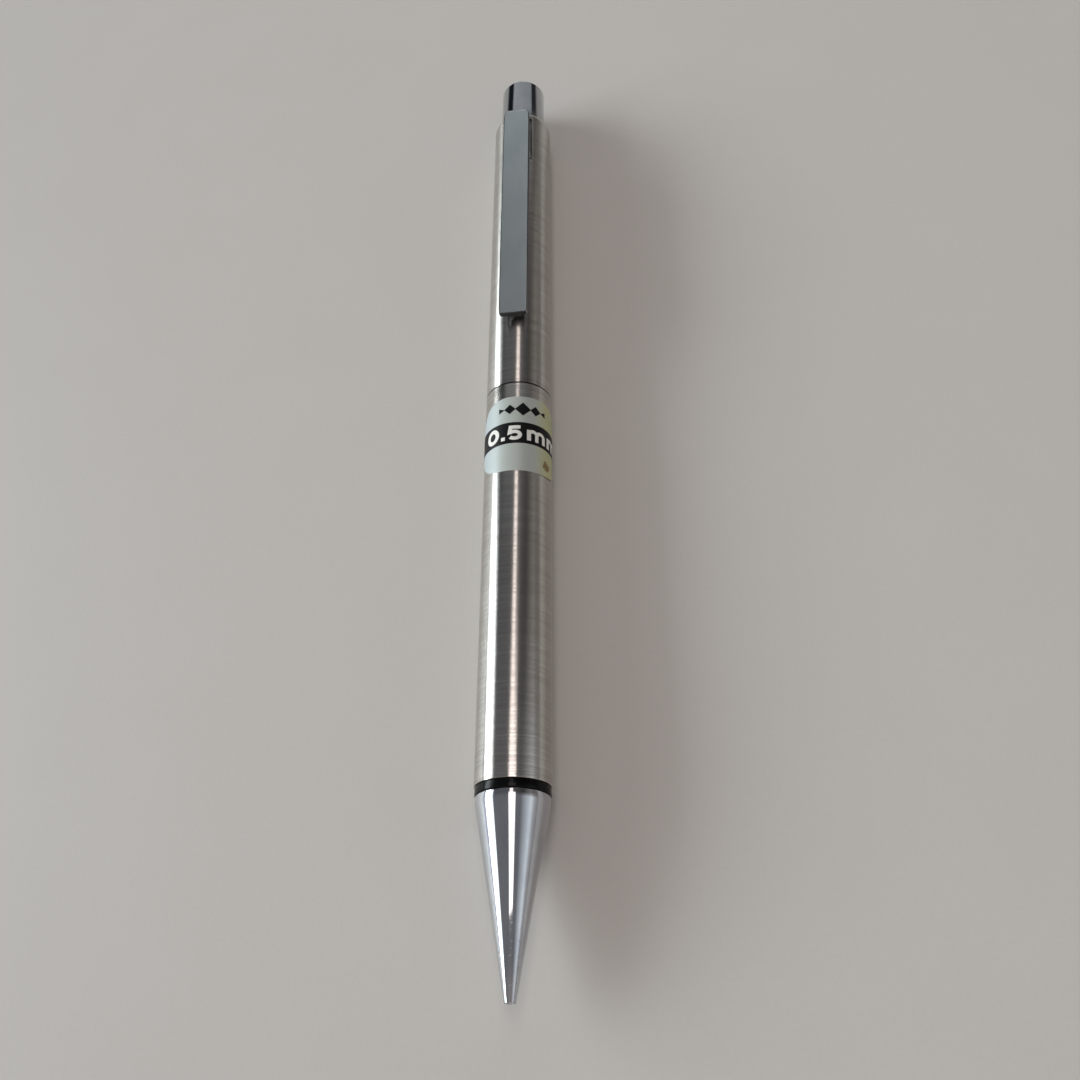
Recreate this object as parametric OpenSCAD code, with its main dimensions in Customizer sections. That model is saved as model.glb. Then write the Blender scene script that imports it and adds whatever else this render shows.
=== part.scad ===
// Push-button mechanical pencil for 0.5 mm lead, all metal, lying on a surface.
// The pencil's axis runs along Y with the writing tip at -Y and the push button at +Y.
// Every round piece is drawn standing up, with its height measured from the tip,
// and is then laid down, so that the barrel rests on z = 0 with the clip on top.

/* [Whole pencil] */
// Length from the tip to the end of the push button
total_length = 138.6; // [136:0.2:142]
// Outside diameter of the lower barrel
barrel_d = 8.8; // [8.7:0.1:9.4]
// Wall thickness of both barrels
barrel_wall = 0.38; // [0.3:0.02:0.4]

/* [Nose cone] */
// Length of the chromed cone
cone_length = 20.9; // [20.5:0.1:21.5]
// Diameter of the blunt tip
tip_d = 1.24; // [1.1:0.02:1.4]
// Diameter of the narrow land at the top of the cone
cone_top_d = 8.44; // [8.2:0.02:8.5]
// Outside diameter of the steel lead sleeve in the tip
sleeve_d = 0.84; // [0.76:0.02:0.9]

/* [Barrel] */
// Width of the black ring between cone and barrel
ring_width = 1.1; // [0.8:0.1:1.4]
// Length of the lower barrel
lower_length = 53.5; // [53:0.1:54]
// Gap that shows as the seam between the two barrels
seam_gap = 0.12; // [0.08:0.01:0.2]
// How much smaller the upper barrel is, on the radius
upper_step = 0.025; // [0:0.005:0.05]
// Length of the sloping shoulder at the top
shoulder_length = 1.4; // [1:0.1:2]

/* [Push button] */
// Diameter of the push button
button_d = 6.82; // [6.7:0.02:6.9]
// Length of button that shows above the shoulder
button_exposed = 8.3; // [7.8:0.1:8.8]
// Radius of the button's rounded end
button_round = 0.3; // [0.2:0.05:0.6]

/* [Clip] */
// Length of the clip from its free end to its bend
clip_length = 42.3; // [38:0.1:44]
// Width of the clip
clip_w = 4.0; // [3.8:0.1:4.4]
// Thickness of the clip's flat bar
clip_t = 0.7; // [0.5:0.05:0.8]
// Height of the clip's top face above the pencil's axis
clip_top_h = 6.15; // [6.05:0.05:6.4]
// Bevel along the clip's long top edges
clip_bevel = 0.1; // [0.06:0.02:0.2]
// Length of the foot that goes down into the barrel
foot_length = 9.4; // [8:0.1:10]

/* [Mechanism] */
// Diameter of the writing lead
lead_d = 0.57; // [0.54:0.01:0.58]
// Number of spare leads in the reservoir
spare_count = 3; // [1:1:4]
// Turns of the return spring
spring_turns = 13; // [8:1:16]
// Wire diameter of the return spring
spring_wire_d = 0.34; // [0.3:0.02:0.36]

/* [Label] */
// Length of the label along the pencil
label_height = 11.6; // [9:0.1:13]
// Half the angle that the label wraps round the barrel
label_half_angle = 98; // [70:1:110]
// Angle from the clip to the label's centre
label_turn = 20.5; // [0:0.5:40]
// Thickness of the label
label_t = 0.07; // [0.05:0.01:0.1]

/* [Hidden] */

// Radii of the two barrels
barrel_r = barrel_d / 2;
upper_r = barrel_r - upper_step;
bore_r = barrel_r - barrel_wall;
edge_break = 0.08;

// Heights along the pencil, from the tip
ring_start = cone_length;
lower_start = ring_start + ring_width;
lower_end = lower_start + lower_length;
upper_start = lower_end + seam_gap;
upper_end = total_length - button_exposed;
shoulder_start = upper_end - shoulder_length;

// Nose cone, its spigot and what it holds
tip_r = tip_d / 2;
cone_top_r = cone_top_d / 2;
land_length = 0.9;
sleeve_r = sleeve_d / 2;
sleeve_end = 6.0;
retainer_r = 1.15;
retainer_start = 6.6;
retainer_end = 9.6;
spigot_end = cone_length + 6.8;
spigot_r = 3.45;
screw_clearance = 0.05;
thread_pitch = 0.8;
thread_depth = 0.14;

// Mechanism, from the chuck back to the reservoir
housing_start = 16.0;
housing_end = 48.0;
housing_r = 2.6;
housing_mouth_r = 2.25;
flange_start = spigot_end + 0.1;
flange_end = flange_start + 1.2;
jaw_start = 14.5;
jaw_end = 23.0;
jaw_head_r = 1.72;
jaw_stem_r = 1.3;
jaw_sweep = 106;
grip_r = lead_d / 2 + 0.015;
clutch_start = 16.6;
clutch_end = 18.4;
coupling_start = 40.0;
coupling_end = 46.5;
reservoir_start = 44.5;
reservoir_r = 1.75;
cup_start = upper_end - 5.3;
cup_end = upper_end + 0.2;
cup_r = 2.35;
lead_start = 0.4;
lead_length = 60;
spare_start = 47.0;
spare_ring_r = 0.8;

// Joint between the two barrels
joint_bush_start = lower_end - 9.5;
joint_bush_end = upper_start + 7.4;
joint_spigot_r = 3.45;

// Push button and eraser
button_r = button_d / 2;
button_start = upper_end - 4.7;
hole_clearance = 0.05;
eraser_r = 1.85;
eraser_end = upper_end + 4.2;

// Clip, along the row's Y axis
clip_rear = shoulder_start - 0.4;
clip_front = clip_rear - clip_length;
clip_split = clip_rear - foot_length;
clip_gap = 0.06;
clip_low_h = clip_top_h - clip_t;
foot_w = 3.9;
slot_margin = 0.12;
tongue_r = bore_r - 0.02;
tongue_t = 0.3;
bend_r = 0.9;

// Turns a piece drawn upright from the tip so that it lies along +Y on the surface
module laid_down() {
    translate([0, -total_length / 2, barrel_r]) {
        rotate([-90, 0, 0]) children();
    }
}

// Revolves an outline of [radius, height from the tip] points
module turned(outline) {
    rotate_extrude($fn = 96) polygon(outline);
}

// Tube from one height to another
module tube(outer_r, inner_r, from, to) {
    turned([[inner_r, from], [outer_r, from], [outer_r, to], [inner_r, to]]);
}

// Tube with both outer edges broken
module barrel_tube(outer_r, inner_r, from, to) {
    turned([
        [inner_r, from],
        [outer_r - edge_break, from],
        [outer_r, from + edge_break],
        [outer_r, to - edge_break],
        [outer_r - edge_break, to],
        [inner_r, to]
    ]);
}

// Solid rod with a point or flat at its low end
module rod(r, from, to, point_r, point_length) {
    turned([[0, from], [point_r, from], [r, from + point_length], [r, to], [0, to]]);
}

// Rings cut round a spigot, which stand for its screw thread
module thread_grooves(crest_r, from, count) {
    for (i = [0:count - 1]) {
        z = from + i * thread_pitch;
        turned([
            [crest_r - thread_depth, z + thread_pitch / 2],
            [crest_r + thread_depth, z + thread_pitch / 8],
            [crest_r + thread_depth, z + thread_pitch * 7 / 8]
        ]);
    }
}

// Points along a shallow bulge from one point to another
function bulge(a, b, rise, steps) = let (
    run = b - a,
    side = [run[1], -run[0]] / norm(run)
) [for (i = [0:steps]) let (u = i / steps) a + run * u + side * rise * 4 * u * (1 - u)];

// Points of a quarter circle about a centre, turning from one angle to another
function arc_points(centre, r, from, to, steps) = [
    for (i = [0:steps]) let (t = from + (to - from) * i / steps) centre + r * [cos(t), sin(t)]
];

module nose_cone() {
    cavity_r = 2.1;
    seat_start = 15.7;
    color("silver") laid_down() difference() {
        turned([
            [sleeve_r, 0],
            [tip_r - 0.06, 0],
            [tip_r, 0.06],
            [cone_top_r - 0.03, cone_length - land_length],
            [cone_top_r, cone_length - land_length + 0.1],
            [cone_top_r, cone_length - edge_break],
            [cone_top_r - edge_break, cone_length],
            [spigot_r, cone_length],
            [spigot_r, spigot_end - 0.2],
            [spigot_r - 0.2, spigot_end],
            [housing_r + 0.1, spigot_end],
            [housing_r + 0.1, seat_start],
            [cavity_r, seat_start],
            [cavity_r, 11.2],
            [retainer_r, 10.2],
            [retainer_r, 6.4],
            [sleeve_r, 6.4]
        ]);
        thread_grooves(spigot_r, cone_length + 1.2, 6);
    }
}

module lead_sleeve() {
    color("lightsteelblue") laid_down() tube(sleeve_r, lead_d / 2 + 0.03, 0.12, sleeve_end);
}

module lead_retainer() {
    color("dimgray") laid_down() turned([
        [grip_r, retainer_start + 0.8],
        [0.55, retainer_start],
        [retainer_r, retainer_start],
        [retainer_r, retainer_end],
        [0.7, retainer_end],
        [grip_r, retainer_start + 1.6]
    ]);
}

module writing_lead() {
    color("black") laid_down() {
        rod(lead_d / 2, lead_start, lead_start + lead_length, lead_d / 2 - 0.06, 0.06);
    }
}

module chuck_stem() {
    color("goldenrod") laid_down() {
        tube(jaw_stem_r, 0.45, jaw_end + 0.03, coupling_start + 3.5);
    }
}

// One of the three fingers of the chuck, turned to its place round the lead
module chuck_jaw(turn) {
    color("goldenrod") laid_down() rotate([0, 0, turn - jaw_sweep / 2]) {
        rotate_extrude(angle = jaw_sweep, $fn = 96) polygon([
            [grip_r, jaw_start],
            [jaw_head_r - 0.35, jaw_start],
            [jaw_head_r, jaw_start + 0.5],
            [jaw_head_r, clutch_start],
            [jaw_stem_r, clutch_end + 0.2],
            [jaw_stem_r, jaw_end],
            [0.5, jaw_end],
            [0.5, jaw_start + 3.4],
            [grip_r, jaw_start + 3.0]
        ]);
    }
}

module clutch_ring() {
    color("gold") laid_down() {
        tube(housing_mouth_r - 0.05, jaw_head_r + 0.06, clutch_start, clutch_end);
    }
}

module mechanism_housing() {
    guide_r = jaw_stem_r + 0.25;
    spring_room_r = 2.3;
    color("darkgoldenrod") laid_down() turned([
        [housing_mouth_r, housing_start],
        [housing_r, housing_start],
        [housing_r, flange_start],
        [spigot_r - 0.05, flange_start],
        [spigot_r - 0.05, flange_end],
        [housing_r, flange_end],
        [housing_r, housing_end],
        [spring_room_r, housing_end],
        [spring_room_r, clutch_end + 2.1],
        [guide_r, clutch_end + 2.1],
        [guide_r, clutch_end + 0.1],
        [housing_mouth_r, clutch_end + 0.1]
    ]);
}

// Coil swept as a tube round a helix; the first and last turns lie close together
module return_spring() {
    coil_r = 1.9;
    wire_r = spring_wire_d / 2;
    sides = 8;
    steps = 16;
    low = clutch_end + 2.15 + wire_r;
    high = coupling_start - 0.05 - wire_r;
    end_turn = spring_wire_d * 1.05;
    rings = spring_turns * steps;
    function climb(t) = t < 1 ? low + end_turn * t
        : t > spring_turns - 1 ? high - end_turn * (spring_turns - t)
        : low + end_turn + (high - low - 2 * end_turn) * (t - 1) / (spring_turns - 2);
    function ring_point(i, j) = let (
        t = i / steps,
        turn = 360 * t,
        around = 360 * j / sides,
        r = coil_r + wire_r * cos(around)
    ) [r * cos(turn), r * sin(turn), climb(t) + wire_r * sin(around)];
    points = [for (i = [0:rings]) for (j = [0:sides - 1]) ring_point(i, j)];
    skin = [for (i = [0:rings - 1]) for (j = [0:sides - 1])
        let (a = i * sides + j, b = i * sides + (j + 1) % sides)
        [a, a + sides, b + sides, b]];
    first = [for (j = [0:sides - 1]) j];
    last = [for (j = [sides - 1:-1:0]) rings * sides + j];
    color("gainsboro") laid_down() polyhedron(points, concat(skin, [first], [last]), convexity = 4);
}

module chuck_coupling() {
    color("ivory") laid_down() turned([
        [jaw_stem_r, coupling_start],
        [2.2, coupling_start],
        [2.2, coupling_end],
        [reservoir_r, coupling_end],
        [reservoir_r, reservoir_start],
        [1.2, reservoir_start],
        [0.45, coupling_start + 3.5],
        [jaw_stem_r, coupling_start + 3.5]
    ]);
}

module lead_reservoir() {
    inner_r = reservoir_r - 0.3;
    color("whitesmoke") laid_down() turned([
        [inner_r, reservoir_start],
        [reservoir_r, reservoir_start],
        [reservoir_r, cup_start - 1],
        [cup_r, cup_start],
        [cup_r, cup_end],
        [cup_r - 0.25, cup_end],
        [cup_r - 0.25, cup_start + 0.2],
        [inner_r, cup_start - 0.7]
    ]);
}

module spare_leads() {
    color("black") laid_down() for (i = [0:spare_count - 1]) {
        rotate([0, 0, 90 + 360 * i / spare_count]) translate([spare_ring_r, 0, 0]) {
            rod(lead_d / 2, spare_start, spare_start + lead_length, lead_d / 2 - 0.06, 0.06);
        }
    }
}

module barrel_ring() {
    color("black") laid_down() {
        barrel_tube(barrel_r - 0.1, spigot_r + screw_clearance, ring_start + 0.04, lower_start);
    }
}

module front_bush() {
    bush_end = flange_end + 1.8;
    color("goldenrod") laid_down() turned([
        [spigot_r + screw_clearance, lower_start],
        [bore_r, lower_start],
        [bore_r, bush_end],
        [housing_r, bush_end],
        [housing_r, flange_end],
        [spigot_r + screw_clearance, flange_end]
    ]);
}

module lower_barrel() {
    color("lightgray") laid_down() barrel_tube(barrel_r, bore_r, lower_start, lower_end);
}

module joint_bush() {
    color("goldenrod") laid_down() difference() {
        turned([
            [2.9, joint_bush_start],
            [bore_r, joint_bush_start],
            [bore_r, lower_end],
            [joint_spigot_r, lower_end],
            [joint_spigot_r, joint_bush_end - 0.2],
            [joint_spigot_r - 0.2, joint_bush_end],
            [2.9, joint_bush_end]
        ]);
        thread_grooves(joint_spigot_r, upper_start + 1.0, 7);
    }
}

// Label wrapped round the barrel; its ends are rounded like a stretched oval
module barrel_label() {
    steps = 48;
    centre = 67.3;
    flat_of_step = cos(label_half_angle / steps);
    inner = (barrel_r + 0.004) / flat_of_step;
    outer = inner + label_t;
    function half_height(u) = label_height / 2 * sqrt(1 - pow(abs(u), 4));
    function rim(i) = let (u = -1 + 2 * (i + 0.5) / (steps + 1)) half_height(u);
    function turn(i) = -90 + label_turn + label_half_angle * (-1 + 2 * i / steps);
    function corner(r, i, side) = [r * cos(turn(i)), r * sin(turn(i)), centre + side * rim(i)];
    points = [for (i = [0:steps]) each [
        corner(inner, i, -1), corner(outer, i, -1), corner(outer, i, 1), corner(inner, i, 1)
    ]];
    skin = [for (i = [0:steps - 1]) for (j = [0:3])
        let (a = 4 * i + j, b = 4 * i + (j + 1) % 4) each [[a, a + 4, b], [b, a + 4, b + 4]]];
    color("lightcyan") laid_down() {
        polyhedron(points, concat(skin, [[0, 1, 2, 3]], [[for (j = [3:-1:0]) 4 * steps + j]]));
    }
}

module upper_barrel() {
    hole_r = button_r + hole_clearance;
    rim_r = hole_r + 0.1;
    color("lightgray") difference() {
        laid_down() turned(concat(
            [
                [bore_r, upper_start],
                [upper_r - edge_break, upper_start],
                [upper_r, upper_start + edge_break]
            ],
            bulge([upper_r, shoulder_start], [rim_r, upper_end], 0.12, 8),
            [
                [hole_r, upper_end],
                [hole_r, upper_end - 0.8],
                [bore_r, shoulder_start]
            ]
        ));
        along_y(foot_w + 2 * slot_margin) polygon([
            [clip_split + clip_gap - slot_margin, bore_r - 1],
            [clip_rear + slot_margin, bore_r - 1],
            [clip_rear + slot_margin, clip_low_h],
            [clip_split + clip_gap - slot_margin, clip_low_h]
        ]);
    }
}

module upper_insert() {
    color("goldenrod") laid_down() {
        tube(bore_r, joint_spigot_r + screw_clearance, upper_start + 0.6, joint_bush_end + 0.8);
    }
}

// Extrudes a side view of [height from the tip, height above the axis] across the pencil
module along_y(width) {
    translate([-width / 2, -total_length / 2, barrel_r]) {
        rotate([90, 0, 90]) linear_extrude(height = width) children();
    }
}

// Space inside the clip's outline seen from above, with its corners rounded
module clip_plan(from, to, round_r) {
    translate([0, -total_length / 2, barrel_r]) linear_extrude(height = clip_top_h + 1) {
        polygon(concat(
            arc_points([clip_w / 2 - round_r, to - round_r], round_r, 0, 90, 6),
            arc_points([-clip_w / 2 + round_r, to - round_r], round_r, 90, 180, 6),
            arc_points([-clip_w / 2 + round_r, from + round_r], round_r, 180, 270, 6),
            arc_points([clip_w / 2 - round_r, from + round_r], round_r, 270, 360, 6)
        ));
    }
}

// Space inside the clip's cross-section, whose top edges are bevelled
module clip_section() {
    half = clip_w / 2;
    translate([0, total_length / 2, barrel_r]) rotate([90, 0, 0]) {
        linear_extrude(height = total_length) polygon([
            [-half, 0],
            [half, 0],
            [half, clip_top_h - clip_bevel],
            [half - clip_bevel, clip_top_h],
            [-half + clip_bevel, clip_top_h],
            [-half, clip_top_h - clip_bevel]
        ]);
    }
}

module clip_wedge() {
    wedge_sweep = 46;
    outer_r = tongue_r - tongue_t - 0.02;
    color("darkgoldenrod") laid_down() rotate([0, 0, -90 - wedge_sweep / 2]) {
        rotate_extrude(angle = wedge_sweep, $fn = 96) polygon([
            [button_r + 0.08, clip_split - 4.0],
            [outer_r, clip_split - 4.0],
            [outer_r, clip_rear - 0.6],
            [button_r + 0.08, clip_rear - 0.6]
        ]);
    }
}

// Rear end of the clip, which bends down through the slot and forward inside the barrel
module clip_foot() {
    front = clip_split + clip_gap;
    reach = 4.2;
    color("silver") {
        intersection() {
            along_y(clip_w) polygon(concat(
                [[front, clip_low_h - 0.25], [front, clip_top_h]],
                arc_points([clip_rear - bend_r, clip_top_h - bend_r], bend_r, 90, 0, 6),
                [[clip_rear, clip_low_h - 0.25]]
            ));
            clip_plan(clip_split - 4, clip_rear, 0.5);
            clip_section();
        }
        difference() {
            along_y(foot_w) polygon([
                [front, tongue_r - tongue_t],
                [clip_rear, tongue_r - tongue_t],
                [clip_rear, clip_low_h],
                [front, clip_low_h]
            ]);
            laid_down() cylinder(r = tongue_r - tongue_t, h = total_length, $fn = 96);
        }
        intersection() {
            laid_down() tube(tongue_r, tongue_r - tongue_t, front - reach, clip_rear - 0.1);
            along_y(foot_w) polygon([
                [front - reach, 0],
                [clip_rear, 0],
                [clip_rear, bore_r + 1],
                [front - reach, bore_r + 1]
            ]);
        }
    }
}

// Flat springy arm of the clip, with a pressed bump under its free end
module clip_arm() {
    bump_r = 1.5;
    bump_reach = 0.85;
    color("silver") {
        intersection() {
            along_y(clip_w) polygon([
                [clip_front, clip_low_h],
                [clip_split, clip_low_h],
                [clip_split, clip_top_h],
                [clip_front + 0.3, clip_top_h],
                [clip_front, clip_top_h - 0.3]
            ]);
            clip_plan(clip_front, clip_rear, 0.5);
            clip_section();
        }
        intersection() {
            translate([
                0,
                clip_front + 2.6 - total_length / 2,
                barrel_r + clip_low_h - bump_reach + bump_r
            ]) {
                sphere(r = bump_r, $fn = 64);
            }
            along_y(clip_w) polygon([
                [clip_front, 0],
                [clip_split, 0],
                [clip_split, clip_low_h + 0.1],
                [clip_front, clip_low_h + 0.1]
            ]);
        }
    }
}

module push_button() {
    wall = 0.32;
    roof = 0.4;
    color("silver") laid_down() turned(concat(
        [
            [button_r - wall, button_start],
            [button_r - edge_break, button_start]
        ],
        [[button_r, button_start + edge_break]],
        arc_points([button_r - button_round, total_length - button_round], button_round, 0, 90, 8),
        [
            [0, total_length],
            [0, total_length - roof],
            [button_r - wall - 0.3, total_length - roof],
            [button_r - wall, total_length - roof - 0.3]
        ]
    ));
}

module button_bush() {
    color("ivory") laid_down() {
        tube(button_r - 0.32, cup_r + screw_clearance, button_start + 0.3, cup_end - 0.2);
    }
}

module eraser() {
    color("white") laid_down() turned(concat(
        [[0, cup_start + 1.3], [eraser_r, cup_start + 1.3]],
        arc_points([eraser_r - 0.4, eraser_end - 0.4], 0.4, 0, 90, 6),
        [[0, eraser_end]]
    ));
}

module eraser_ferrule() {
    outer_r = eraser_r + 0.2;
    bottom = cup_start + 1.0;
    color("silver") laid_down() turned([
        [0, bottom],
        [outer_r, bottom],
        [outer_r, cup_end + 0.1],
        [outer_r + 0.25, cup_end + 0.1],
        [outer_r + 0.25, cup_end + 0.5],
        [eraser_r, cup_end + 0.5],
        [eraser_r, bottom + 0.3],
        [0, bottom + 0.3]
    ]);
}

module cleaning_needle() {
    color("gainsboro") laid_down() rod(0.2, cup_start - 12.8, cup_start + 1.0, 0.05, 1.2);
}

nose_cone();
lead_sleeve();
lead_retainer();
writing_lead();
chuck_stem();
chuck_jaw(-90);  // chuck_jaw_1
chuck_jaw(30);  // chuck_jaw_2
chuck_jaw(150);  // chuck_jaw_3
clutch_ring();
mechanism_housing();
return_spring();
chuck_coupling();
lead_reservoir();
spare_leads();
barrel_ring();
front_bush();
lower_barrel();
joint_bush();
barrel_label();
upper_barrel();
upper_insert();
clip_wedge();
clip_foot();
clip_arm();
push_button();
button_bush();
eraser();
eraser_ferrule();
cleaning_needle();
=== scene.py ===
import math
import random

import bmesh
import bpy
from mathutils import Euler, Matrix, Vector


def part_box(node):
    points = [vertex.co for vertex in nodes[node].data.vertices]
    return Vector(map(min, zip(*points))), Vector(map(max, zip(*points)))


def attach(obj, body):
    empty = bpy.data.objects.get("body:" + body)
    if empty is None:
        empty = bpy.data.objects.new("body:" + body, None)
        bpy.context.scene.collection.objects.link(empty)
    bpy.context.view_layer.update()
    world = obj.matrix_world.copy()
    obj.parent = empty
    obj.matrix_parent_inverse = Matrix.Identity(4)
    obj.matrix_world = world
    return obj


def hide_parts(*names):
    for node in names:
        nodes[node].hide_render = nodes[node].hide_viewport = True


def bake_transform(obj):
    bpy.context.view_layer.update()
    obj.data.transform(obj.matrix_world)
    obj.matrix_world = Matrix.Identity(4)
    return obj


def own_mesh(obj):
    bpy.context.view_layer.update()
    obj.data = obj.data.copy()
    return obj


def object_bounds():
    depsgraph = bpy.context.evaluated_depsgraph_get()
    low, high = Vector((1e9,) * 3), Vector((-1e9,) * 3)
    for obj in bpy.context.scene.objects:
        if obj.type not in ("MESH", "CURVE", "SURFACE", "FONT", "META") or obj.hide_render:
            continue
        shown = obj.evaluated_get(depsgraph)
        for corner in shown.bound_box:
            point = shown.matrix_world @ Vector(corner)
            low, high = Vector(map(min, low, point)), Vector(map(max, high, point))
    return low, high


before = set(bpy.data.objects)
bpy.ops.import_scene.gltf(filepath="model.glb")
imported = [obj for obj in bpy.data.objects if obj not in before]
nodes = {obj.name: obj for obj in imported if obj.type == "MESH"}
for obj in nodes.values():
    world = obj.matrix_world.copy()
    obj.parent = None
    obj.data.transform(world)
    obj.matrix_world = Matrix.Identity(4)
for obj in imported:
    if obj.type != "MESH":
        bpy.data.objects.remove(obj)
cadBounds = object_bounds()
print("frame loaded:", len(nodes), "nodes")

mm = 0.001
random.seed(7)

# Where the pencil lies, all of it read from the frame
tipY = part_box("nose_cone")[0].y
barrelLow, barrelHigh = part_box("lower_barrel")
axisZ = (barrelLow.z + barrelHigh.z) / 2
barrelRadius = (barrelHigh.x - barrelLow.x) / 2 / mm
seamY = (barrelHigh.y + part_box("upper_barrel")[0].y) / 2
upperRadius = (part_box("upper_barrel")[1].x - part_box("upper_barrel")[0].x) / 2 / mm


def fromTip(node, end):
    # distance of a node's front (0) or back (1) from the writing tip, in mm
    return (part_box(node)[end].y - tipY) / mm


def heightAboveAxis(node, end):
    return (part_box(node)[end].z - axisZ) / mm


def placed(radius, distance, turn):
    # turn is in degrees from straight up, positive towards +X
    angle = math.radians(turn)
    return Vector((
        radius * math.sin(angle) * mm,
        tipY + distance * mm,
        axisZ + radius * math.cos(angle) * mm,
    ))


# ---- colours and nodes

def linear(hexColour):
    channels = [int(hexColour[i:i + 2], 16) / 255 for i in (1, 3, 5)]
    return [c / 12.92 if c <= 0.04045 else ((c + 0.055) / 1.055) ** 2.4 for c in channels] + [1.0]


def addNode(tree, kind, settings=None, links=None):
    # capitalised names and numbers are input sockets, the rest are the node's own settings
    node = tree.nodes.new("ShaderNode" + kind)
    for key, value in (settings or {}).items():
        if key == "stops":
            ramp = node.color_ramp
            while len(ramp.elements) < len(value):
                ramp.elements.new(0.5)
            for element, (position, colour) in zip(ramp.elements, value):
                element.position = position
                element.color = linear(colour)
        elif isinstance(key, int) or key[0].isupper():
            node.inputs[key].default_value = value
        else:
            setattr(node, key, value)
    for key, socket in (links or {}).items():
        tree.links.new(socket, node.inputs[key])
    return node


def newMaterial(name, shaderSettings):
    material = bpy.data.materials.new(name)
    material.use_nodes = True
    tree = material.node_tree
    tree.nodes.clear()
    shader = addNode(tree, "BsdfPrincipled", shaderSettings)
    output = addNode(tree, "OutputMaterial", None, {"Surface": shader.outputs["BSDF"]})
    output.location = (300, 0)
    return material, tree, shader


def grainNoise(tree, sizeMm, detail=3.0, roughness=0.55, distortion=0.0):
    # noise whose grain is sizeMm = (x, y, z) across, measured on the piece itself
    place = addNode(tree, "TexCoord")
    stretch = addNode(
        tree, "Mapping",
        {"Scale": [1 / (s * mm) for s in sizeMm]},
        {"Vector": place.outputs["Object"]},
    )
    return addNode(
        tree, "TexNoise",
        {"Scale": 1.0, "Detail": detail, "Roughness": roughness, "Distortion": distortion},
        {"Vector": stretch.outputs["Vector"]},
    ).outputs["Fac"]


def remapped(tree, value, fromLow, fromHigh, toLow, toHigh):
    return addNode(
        tree, "MapRange",
        {"From Min": fromLow, "From Max": fromHigh, "To Min": toLow, "To Max": toHigh},
        {"Value": value},
    ).outputs["Result"]


def mixedColour(tree, factor, first, second):
    # first and second are hex colours or colour sockets
    node = addNode(tree, "Mix", {"data_type": "RGBA"}, {"Factor": factor})
    for socket, colour in zip((node.inputs[6], node.inputs[7]), (first, second)):
        if isinstance(colour, str):
            socket.default_value = linear(colour)
        else:
            tree.links.new(colour, socket)
    return node.outputs[2]


def bumped(tree, height, strength, depthMm, previous=None):
    links = {"Height": height}
    if previous is not None:
        links["Normal"] = previous
    return addNode(
        tree, "Bump", {"Strength": strength, "Distance": depthMm * mm}, links,
    ).outputs["Normal"]


# ---- materials

brushedSettings = {
    "pale": "#d8d6d2",
    "dark": "#9a948d",
    # colour of the painted shade at the joint between the two barrels
    "jointShade": "#2b2927",
    "roughLow": 0.13,
    "roughHigh": 0.22,
    "anisotropy": 0.85,
    "lineMm": 0.22,      # real abrasive lines are near 0.03 mm, drawn coarser so they show
    "bandMm": 1.1,
    "lineDepthMm": 0.014,
    "jointShadeMm": 0.1,      # half width of the painted shade along the joint between the two barrels
    "wobbleMm": 0.7,
    "wobbleDepthMm": 0.012,
}


def brushedStainless(name, settings):
    # stainless steel brushed on a lathe: fine lines run round the barrel and
    # drag every highlight out along its length
    material, tree, shader = newMaterial(name, {
        "Metallic": 1.0,
        "Anisotropic": settings["anisotropy"],
        "Anisotropic Rotation": 0.25,
    })
    lines = grainNoise(tree, (7.0, settings["lineMm"], 7.0), 4.0, 0.7)
    wobble = grainNoise(tree, (settings["wobbleMm"], settings["lineMm"], settings["wobbleMm"]), 2.0, 0.6)
    bands = grainNoise(tree, (30.0, settings["bandMm"], 30.0), 2.0, 0.5)
    handling = grainNoise(tree, (6.0, 9.0, 6.0), 3.0, 0.6)
    shade = remapped(tree, lines, 0.3, 0.7, 0.0, 0.75)
    shade = addNode(
        tree, "Math", {"operation": "MULTIPLY_ADD", 1: 0.45},
        {0: bands, 2: remapped(tree, shade, 0.0, 1.0, -0.15, 0.6)},
    ).outputs[0]
    colour = mixedColour(tree, shade, settings["pale"], settings["dark"])
    place = addNode(tree, "TexCoord")
    along = addNode(tree, "SeparateXYZ", None, {0: place.outputs["Object"]}).outputs["Y"]
    offset = addNode(tree, "Math", {"operation": "SUBTRACT", 1: seamY}, {0: along}).outputs[0]
    offset = addNode(tree, "Math", {"operation": "ABSOLUTE"}, {0: offset}).outputs[0]
    # painted shade: a dark band either side of the joint between the two barrels, standing in for the shadow
    # in the gap
    jointShaded = remapped(tree, offset, settings["jointShadeMm"] * mm, settings["jointShadeMm"] * mm * 1.3, 1.0, 0.0)
    tree.links.new(mixedColour(tree, jointShaded, colour, settings["jointShade"]), shader.inputs["Base Color"])
    rough = remapped(tree, lines, 0.3, 0.7, settings["roughLow"], settings["roughHigh"])
    rough = addNode(
        tree, "Math", {"operation": "MULTIPLY_ADD", 1: 0.07}, {0: handling, 2: rough},
    ).outputs[0]
    tree.links.new(rough, shader.inputs["Roughness"])
    around = addNode(tree, "Tangent", {"direction_type": "RADIAL", "axis": "Y"})
    tree.links.new(around.outputs[0], shader.inputs["Tangent"])
    normal = bumped(tree, lines, 0.5, settings["lineDepthMm"])
    normal = bumped(tree, wobble, 0.5, settings["wobbleDepthMm"], normal)
    tree.links.new(normal, shader.inputs["Normal"])
    return material


chromeSettings = {
    "clear": "#d0d2d6",
    "hazed": "#bcbfc6",
    "roughLow": 0.05,
    "roughHigh": 0.1,
    "turningMm": 0.3,    # tool marks under the plating, drawn coarser than the real 0.05 mm
    "pitMm": 0.35,
}


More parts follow.
